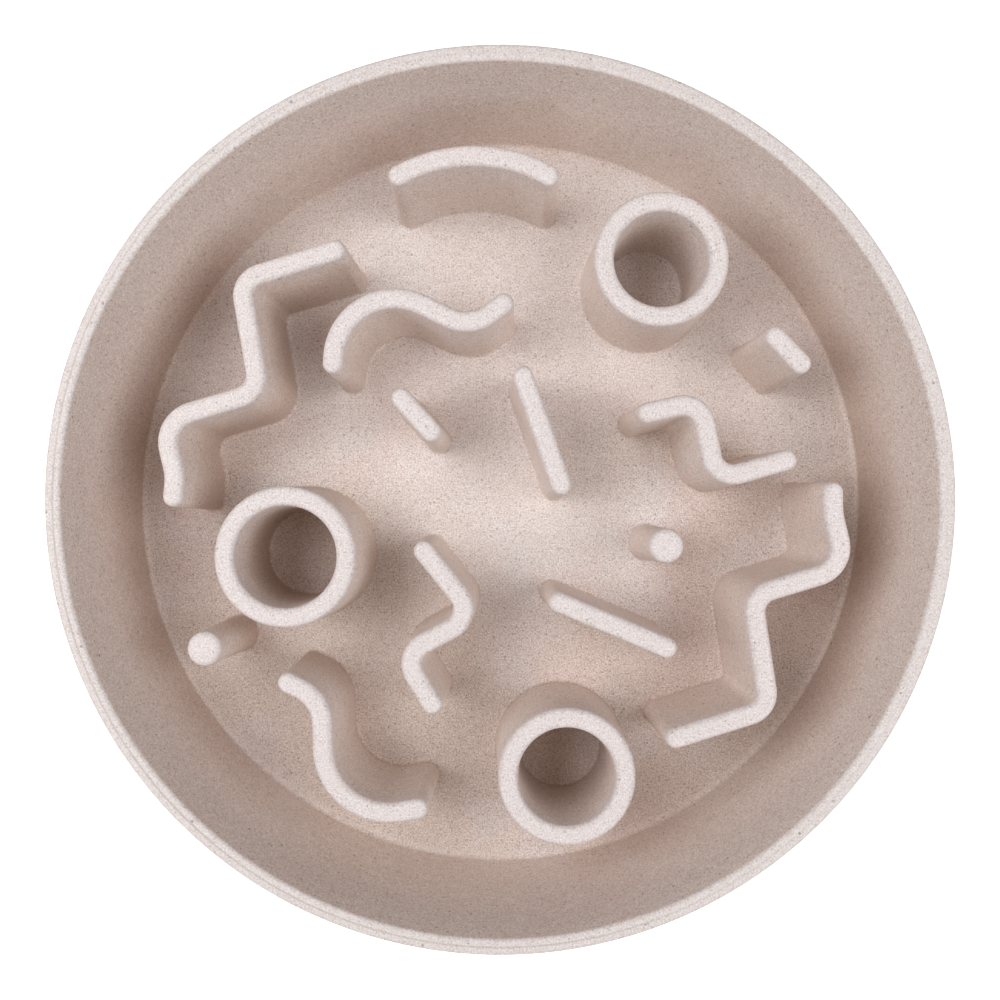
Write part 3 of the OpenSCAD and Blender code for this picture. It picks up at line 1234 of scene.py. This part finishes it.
        # Less grain where the floor's painted light lies.
        spread = n.multiply_add(pale, on_painted_light, spread)
        colour = self.grained(n, colour, spot.where, spread)
        fine, mid, few = (s.mask(n, specks, spot.where) for s in (self.fine, self.mid, self.few))
        fine = n.product(fine, n.maths("MULTIPLY", spread, self.fine.depth))
        mid = n.product(mid, n.maths("MULTIPLY", spread, self.mid.depth))
        few = n.product(few, self.few.depth)
        for mask, tone in ((fine, self.speck), (mid, self.speck), (few, self.husk)):
            colour = n.tint(mask, colour, tone)
        colour = n.tint(self.hairline(n, spot), colour, self.speck)
        rough = n.multiply_add(n.maths("MAXIMUM", fine, mid), self.speck_rough, self.roughness)
        pits = n.noise(spot.where, self.pits)
        height = n.maths("SUBTRACT", pits, n.maths("MULTIPLY", mid, self.speck_pit))
        shader = n.matt(colour, rough, height, self.bump)
        shader.inputs["IOR"].default_value = self.ior
        shader.inputs["Specular IOR Level"].default_value = self.gloss
        return made


@dataclass(frozen=True)
class PadRubber:
    """Soft matt rubber of the pads.

    Attributes:
        slot: The record's slot; not used.
        body: Its colour.
        dusty: Colour of the dust that it picks up.
        dust: Where the dust lies.
        dust_much: How much of it shows.
        dust_rough: How much rougher it is.
        roughness: The rubber's own roughness.
        grain: Scale of its grain, a metre.
        bump: Strength of the grain, and its depth in metres.
    """

    slot: Slot = Slot.RUBBER
    body: Colour = (0.145, 0.125, 0.112, 1.0)
    dusty: Colour = (0.27, 0.245, 0.225, 1.0)
    dust: Cloud = Cloud(160.0, 0.4, 0.8)
    dust_much: float = 0.5
    dust_rough: float = 0.15
    roughness: float = 0.72
    grain: float = 2200.0
    bump: Pair = (0.3, 0.0001)

    def material(self) -> bpy.types.Material:
        """Builds the material on Object coordinates.

        Returns:
            The material.
        """
        made, n = new_material("pad_rubber")
        where = n.add("ShaderNodeTexCoord").outputs["Object"]
        dust = self.dust.mask(n, SoftCloud(), where)
        colour = n.tint(n.maths("MULTIPLY", dust, self.dust_much), self.body, self.dusty)
        rough = n.multiply_add(dust, self.dust_rough, self.roughness)
        grain = n.add("ShaderNodeTexNoise", Vector=where, Scale=self.grain)
        n.matt(colour, rough, grain.outputs["Fac"], self.bump)
        return made


def make_piece(
    name: str, surface: Surface, node: str, material: bpy.types.Material
) -> bpy.types.Object:
    """Puts a surface into the scene as a piece that stands for a solid.

    Args:
        name: Name of the piece.
        surface: Its closed surface, in millimetres.
        node: Name of the solid that it stands for.
        material: Its material.

    Returns:
        The piece.
    """
    mesh = bpy.data.meshes.new(name)
    mesh.from_pydata(surface.vertices * MM, [], surface.faces)
    mesh.polygons.foreach_set("use_smooth", np.ones(len(mesh.polygons), dtype=bool))
    mesh.set_sharp_from_angle(angle=math.radians(SHARP_OVER))
    mesh.materials.append(material)
    mesh.validate()
    mesh.update()
    piece = bpy.data.objects.new(name, mesh)
    bpy.context.scene.collection.objects.link(piece)
    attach(piece, "root")
    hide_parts(node)
    LOG.info("%s: %d vertices, %d faces", name, len(mesh.vertices), len(mesh.polygons))
    return piece


@dataclass
class Bowl:
    """The moulded bowl: the dish and all that stands on its floor."""

    dish: Dish = field(default_factory=Dish)
    ridges: tuple[Ridge, ...] = (
        Ridge("back_arc", CentreLine([(-0.25, 0.80), (-0.064, 0.896), (0.12, 0.80)], (0.38,))),
        Ridge("right_block", CentreLine([(0.678, 0.403), (0.74, 0.337)])),
        Ridge(
            "left_zigzag",
            CentreLine(
                [
                    (-0.406, 0.616),
                    (-0.64, 0.542),
                    (-0.593, 0.268),
                    (-0.832, 0.196),
                    (-0.80, 0.061),
                    (-0.805, 0.01),
                ],
                (0.056, 0.056, 0.078, 0.118),
            ),
        ),
        Ridge(
            "back_wave",
            CentreLine(
                [(-0.412, 0.338), (-0.393, 0.579), (-0.073, 0.424), (0.008, 0.485)], (0.152, 0.096)
            ),
        ),
        Ridge("short_bar", CentreLine([(-0.243, 0.251), (-0.17, 0.17)])),
        Ridge("middle_bar", CentreLine([(0.056, 0.307), (0.15, 0.039)])),
        Ridge(
            "small_zigzag",
            CentreLine(
                [(0.364, 0.216), (0.494, 0.246), (0.532, 0.049), (0.705, 0.099)], (0.056, 0.056)
            ),
        ),
        Ridge(
            "right_zigzag",
            CentreLine(
                [
                    (0.819, 0.02),
                    (0.82, -0.034),
                    (0.851, -0.165),
                    (0.621, -0.235),
                    (0.663, -0.513),
                    (0.433, -0.585),
                ],
                (0.118, 0.073, 0.056, 0.056),
            ),
        ),
        Ridge("front_bar", CentreLine([(0.145, -0.251), (0.41, -0.363)])),
        Ridge(
            "front_zigzag",
            CentreLine(
                [(-0.188, -0.125), (-0.061, -0.284), (-0.241, -0.381), (-0.168, -0.501)],
                (0.056, 0.056),
            ),
        ),
        Ridge(
            "front_wave",
            CentreLine(
                [(-0.522, -0.449), (-0.44, -0.49), (-0.431, -0.798), (-0.203, -0.759)],
                (0.098, 0.162),
            ),
        ),
    )
    rings: tuple[Ring, ...] = (
        Ring("back_ring", (0.397, 0.594), 38.4),
        # The last number of a ring is the painted shade in its well.
        Ring("left_ring", (-0.529, -0.139), 40.4, 0.38),
        Ring("front_ring", (0.164, -0.68), 39.2, 0.34),
    )
    posts: tuple[Post, ...] = (
        Post("right_post", (0.409, -0.112)),
        Post("left_post", (-0.727, -0.365)),
    )

    def build(self, sizes: BowlSizes, finish: FibrePlastic) -> None:
        """Builds and dresses every piece of the moulding.

        Args:
            sizes: The bowl's sizes.
            finish: The plastic.
        """
        material = finish.material(self.rings)
        for part in (self.dish, *self.ridges, *self.rings, *self.posts):
            name = f"{part.node}_moulding"
            make_piece(name, part.surface(sizes), part.node, material)


@dataclass
class Feet:
    """The four soft pads under the bowl."""

    pads: tuple[FootPad, ...] = tuple(FootPad(number) for number in PAD_NUMBERS)

    def build(self, sizes: BowlSizes, finish: PadRubber) -> None:
        """Builds and dresses the pads.

        Args:
            sizes: The bowl's sizes.
            finish: The rubber.
        """
        material = finish.material()
        for pad in self.pads:
            name = f"{pad.node}_rubber"
            make_piece(name, pad.surface(sizes), pad.node, material)


@dataclass
class SoftLamp:
    """A large soft lamp that faces the bowl.

    Attributes:
        name: Its name.
        side: Where it stands round the bowl, in degrees from +X towards +Y.
        height: How high it stands, in degrees over the floor.
        size: Its width, in metres.
        level: Its share of the light at which a flat white surface shows as white.
        distance: How far off it stands, in metres.
        tall: Its height as a share of its width.
        colour: Colour of its light, a little cool.
    """

    name: str
    side: float
    height: float
    size: float
    level: float
    distance: float = 1.4
    tall: float = 1.0
    colour: tuple[float, float, float] = (0.955, 0.998, 1.055)

    def build(self) -> None:
        """Stands the lamp in its place and turns it to the bowl.

        Its power is level * pi^2 * distance^2 / sin(height), because a flat lamp of power P sends
        P / (pi^2 distance^2) times the sine of its height back off a flat white surface.
        """
        side, height = math.radians(self.side), math.radians(self.height)
        out = math.cos(height)
        ahead = Vector((math.cos(side) * out, math.sin(side) * out, math.sin(height)))
        lamp = bpy.data.lights.new(self.name, "AREA")
        lamp.shape = "RECTANGLE"
        lamp.size = self.size
        lamp.size_y = self.size * self.tall
        lamp.color = self.colour
        lamp.energy = self.level * math.pi**2 * self.distance**2 / math.sin(height)
        holder = bpy.data.objects.new(self.name, lamp)
        holder.location = ahead * self.distance
        holder.rotation_euler = (-ahead).to_track_quat("-Z", "Y").to_euler()
        bpy.context.scene.collection.objects.link(holder)


@dataclass
class Studio:
    """A pale floor, soft lamps and the camera over the bowl.

    Attributes:
        lamps: The lamps.
        sky: Strength of the soft light from all round.
        white: Colour of the sky and of the floor's glow.
        floor_colour: Colour of the floor.
        floor_half: Half of the floor's side, in metres.
        floor_drop: How far the floor lies below the pads' faces, in metres.
        floor_glow: Strength of the floor's own white round the bowl, which lights nothing.
        glow_rise: Distances from the bowl between which the glow doubles, in metres.
        camera_place: Where the camera hangs, in metres.
        lens: Its lens, in millimetres.
        sensor: Width of its sensor, in millimetres.
        near: Distance from which on it sees, in metres.
        shift: Its shift in x and y.
    """

    lamps: tuple[SoftLamp, ...] = (
        SoftLamp("left", 180, 48, 0.42, 0.36, 0.85, 1.9),
        SoftLamp("left_high", 180, 65, 0.4, 0.05, 0.6),
        SoftLamp("left_back", 152, 56, 0.42, 0.12, 0.85),
        SoftLamp("right", 0, 49, 0.42, 0.30, 0.85, 1.6),
        SoftLamp("right_front", 335, 48, 0.42, 0.06, 0.85),
        SoftLamp("back_left", 130, 58, 0.45, 0.09, 0.85),
        SoftLamp("front_right", 312, 38, 0.6, 0.08),
        SoftLamp("front", 265, 26, 0.6, 0.05),
        SoftLamp("front_left", 225, 38, 0.6, 0.02),
    )
    sky: float = 0.03
    white: Colour = (1.0, 1.0, 1.0, 1.0)
    floor_colour: Colour = (0.86, 0.86, 0.86, 1.0)
    floor_half: float = 6.0
    floor_drop: float = 0.0002
    floor_glow: float = 0.52
    glow_rise: Pair = (0.3, 1.2)
    camera_place: tuple[float, float, float] = (0.0005, -0.00426, 0.3223)
    lens: float = 35.0
    sensor: float = 36.0
    near: float = 0.01
    shift: Pair = (-0.00195, 0.0153)

    @staticmethod
    def in_sight(n: Nodes) -> Socket:
        """A mask of 1 for rays from the camera, from a gloss or through a clear piece.

        Args:
            n: Helper on the material or world that reads it.

        Returns:
            The socket with the mask.
        """
        path = n.add("ShaderNodeLightPath").outputs
        seen = n.maths("MAXIMUM", path["Is Camera Ray"], path["Is Glossy Ray"])
        return n.maths("MAXIMUM", seen, path["Is Transmission Ray"])

    def build_floor(self) -> None:
        """Lays the floor, which shows white to the camera and keeps part of the bowl's shadow.

        Its glow rises from floor_glow round the bowl to twice that past the lamps' reach, and its
        face lies a hair below the pads' faces, so that no two faces coincide.
        """
        h, z = self.floor_half, -self.floor_drop
        mesh = bpy.data.meshes.new("studio_floor")
        mesh.from_pydata([(-h, -h, z), (h, -h, z), (h, h, z), (-h, h, z)], [], [(0, 1, 2, 3)])
        floor = bpy.data.objects.new("studio_floor", mesh)
        bpy.context.scene.collection.objects.link(floor)
        made, n = new_material("studio_floor")
        matt = n.add("ShaderNodeBsdfDiffuse", Color=self.floor_colour)
        where = n.add("ShaderNodeTexCoord").outputs["Object"]
        away = n.add("ShaderNodeVectorMath", {"operation": "LENGTH"}, i0=where).outputs["Value"]
        rise = n.band(away, *self.glow_rise)
        strength = n.multiply_add(rise, self.floor_glow, self.floor_glow)
        glow = n.add("ShaderNodeEmission", Color=self.white, Strength=strength)
        both = n.add("ShaderNodeAddShader", i0=matt.outputs[0], i1=glow.outputs[0])
        shader = n.add(
            "ShaderNodeMixShader", i0=self.in_sight(n), i1=matt.outputs[0], i2=both.outputs[0]
        )
        n.add("ShaderNodeOutputMaterial", Surface=shader.outputs[0])
        mesh.materials.append(made)

    def build_sky(self) -> None:
        """Lights the scene softly from all round, and shows white behind it."""
        world = bpy.data.worlds.new("studio")
        bpy.context.scene.world = world
        world.use_nodes = True
        world.node_tree.nodes.clear()
        n = Nodes(world.node_tree)
        soft = n.add("ShaderNodeBackground", Color=self.white, Strength=self.sky).outputs[0]
        white = n.add("ShaderNodeBackground", Color=self.white, Strength=1.0).outputs[0]
        shader = n.add("ShaderNodeMixShader", i0=self.in_sight(n), i1=soft, i2=white)
        n.add("ShaderNodeOutputWorld", Surface=shader.outputs[0])

    def build_camera(self) -> None:
        """Hangs the camera straight over the bowl, with the photograph's framing."""
        camera = bpy.data.cameras.new("camera")
        camera.lens = self.lens
        camera.sensor_width = self.sensor
        camera.shift_x, camera.shift_y = self.shift
        camera.clip_start = self.near
        holder = bpy.data.objects.new("camera", camera)
        holder.location = self.camera_place
        bpy.context.scene.collection.objects.link(holder)
        bpy.context.scene.camera = holder

    def build(self) -> None:
        """Builds the whole studio."""
        bpy.context.scene.view_settings.view_transform = "Standard"
        self.build_floor()
        self.build_sky()
        self.build_camera()
        for lamp in self.lamps:
            lamp.build()


def corners(box: tuple[Vector, Vector]) -> list[list[float]]:
    """A box as plain lists of numbers."""
    return [list(map(float, corner)) for corner in box]


def main() -> None:
    """Builds the studio, the moulding and the feet."""
    logging.basicConfig(level=logging.INFO, format="%(message)s")
    Studio().build()
    Bowl().build(SIZES, FibrePlastic())
    Feet().build(SIZES, PadRubber())


if __name__ == "__main__":
    main()
